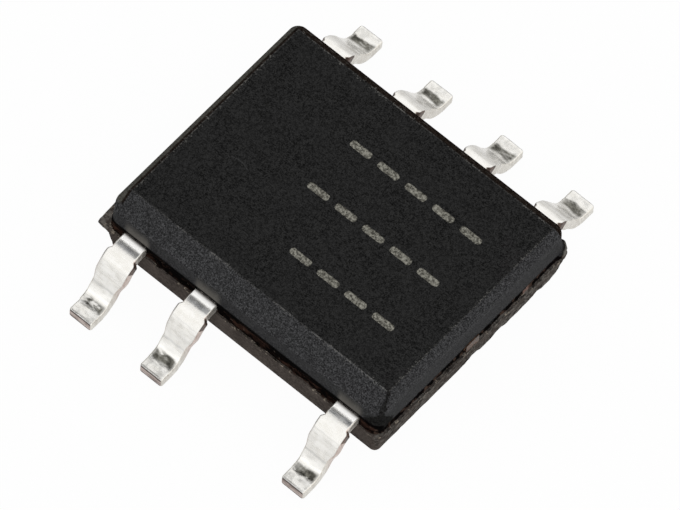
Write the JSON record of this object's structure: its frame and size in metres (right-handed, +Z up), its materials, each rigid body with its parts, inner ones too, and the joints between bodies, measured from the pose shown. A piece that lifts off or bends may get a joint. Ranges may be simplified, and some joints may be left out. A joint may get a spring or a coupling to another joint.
{
  "type": "small-outline surface-mount chip package",
  "caption": "Narrow small-outline integrated circuit: black moulded body with gull-wing solder leads in two rows, one position left empty, and the die, pad and bond wires inside.",
  "frame": {"origin": "on the seating plane, in the middle of the two rows of leads", "axes": "+X along the lead rows from pin 1 towards pin 4, +Y from the near row (pins 1 to 4) to the far row, +Z up, out of the marked face"},
  "size_m": [0.005, 0.006, 0.0014],
  "materials": {
    "moulding_compound": "matte",
    "tinned_lead": "satin",
    "copper_alloy": "satin",
    "die_adhesive": "satin",
    "silicon": "gloss",
    "gold_wire": "gloss"
  },
  "bodies": {
    "root": {"moulded_body": "moulding_compound", "die_pad": "copper_alloy", "die_attach": "die_adhesive", "die": "silicon", "lead_1": "tinned_lead", "lead_2": "tinned_lead", "lead_4": "tinned_lead", "lead_5": "tinned_lead", "lead_6": "tinned_lead", "lead_7": "tinned_lead", "lead_8": "tinned_lead", "bond_wire_1": "gold_wire", "bond_wire_2": "gold_wire", "bond_wire_4": "gold_wire", "bond_wire_5": "gold_wire", "bond_wire_6": "gold_wire", "bond_wire_7": "gold_wire", "bond_wire_8": "gold_wire", "down_bond_wire": "gold_wire"}
  },
  "joints": []
}
